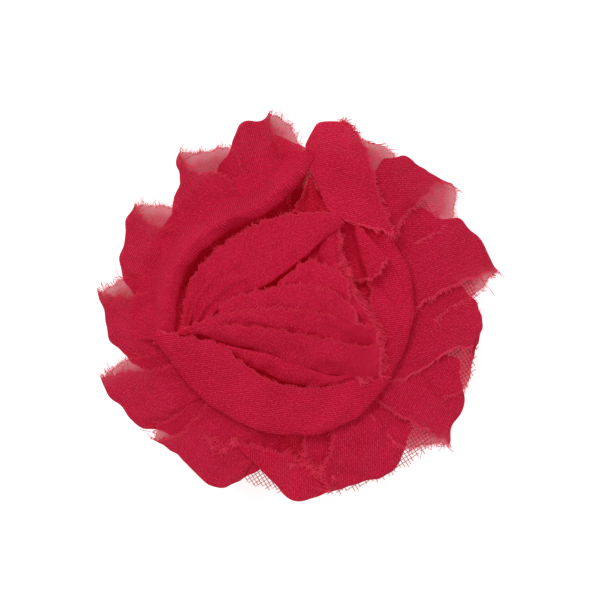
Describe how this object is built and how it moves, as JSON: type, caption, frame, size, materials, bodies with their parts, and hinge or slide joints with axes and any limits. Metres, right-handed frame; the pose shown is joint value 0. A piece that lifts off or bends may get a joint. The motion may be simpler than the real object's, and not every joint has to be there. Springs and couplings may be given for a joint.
{
  "type": "flower hair clip",
  "caption": "Frayed chiffon rosette backed with net and felt, glued to a sprung steel clip whose toothed jaw opens to grip a lock of hair.",
  "frame": {"origin": "on the surface that the clip's thumb end touches, below the middle of the flower's outline", "axes": "+Z is the way the flower faces, +X runs along the clip from its thumb tab to its jaws, and +Y is the hinge axis"},
  "size_m": [0.0634, 0.0624, 0.0229],
  "materials": {
    "chiffon": "sheer chiffon with a fine twill grain, frayed at its raw edges",
    "net": "open net",
    "thread": "matt sewing thread",
    "felt": "matt felt",
    "ribbon": "ribbed grosgrain",
    "glue": "clear hot-melt glue",
    "clip_steel": "nickel-plated pressed sheet",
    "pin_steel": "nickel-plated rivet",
    "spring_steel": "bright spring wire"
  },
  "bodies": {
    "flower_and_base": {"outer_petal_01": "chiffon", "outer_petal_02": "chiffon", "outer_petal_03": "chiffon", "outer_petal_04": "chiffon", "outer_petal_05": "chiffon", "outer_petal_06": "chiffon", "outer_petal_07": "chiffon", "outer_petal_08": "chiffon", "outer_petal_09": "chiffon", "outer_petal_10": "chiffon", "outer_petal_11": "chiffon", "outer_petal_12": "chiffon", "outer_petal_13": "chiffon", "coil_band": "chiffon", "inner_fold_1": "chiffon", "inner_fold_2": "chiffon", "inner_fold_3": "chiffon", "inner_fold_4": "chiffon", "inner_fold_5": "chiffon", "inner_fold_6": "chiffon", "frayed_stack": "chiffon", "corner_tab": "chiffon", "gathered_core": "chiffon", "net_backing": "net", "backing_stitches": "thread", "pad_glue": "glue", "felt_pad": "felt", "clip_glue": "glue", "ribbon_lining": "ribbon", "clip_base_arm": "clip_steel", "hinge_pin": "pin_steel", "torsion_spring": "spring_steel"},
    "jaw": {"clip_jaw_arm": "clip_steel"}
  },
  "joints": [
    {"name": "jaw_hinge", "type": "hinge", "parent": "flower_and_base", "child": "jaw", "pos_m": [-0.0075, 0, 0.0069], "axis": [0, 1, 0], "range_deg": [0, 30], "stiffness_Nm_per_rad": 0.05, "springref_deg": -57.3, "deforming": ["torsion_spring"]}
  ]
}
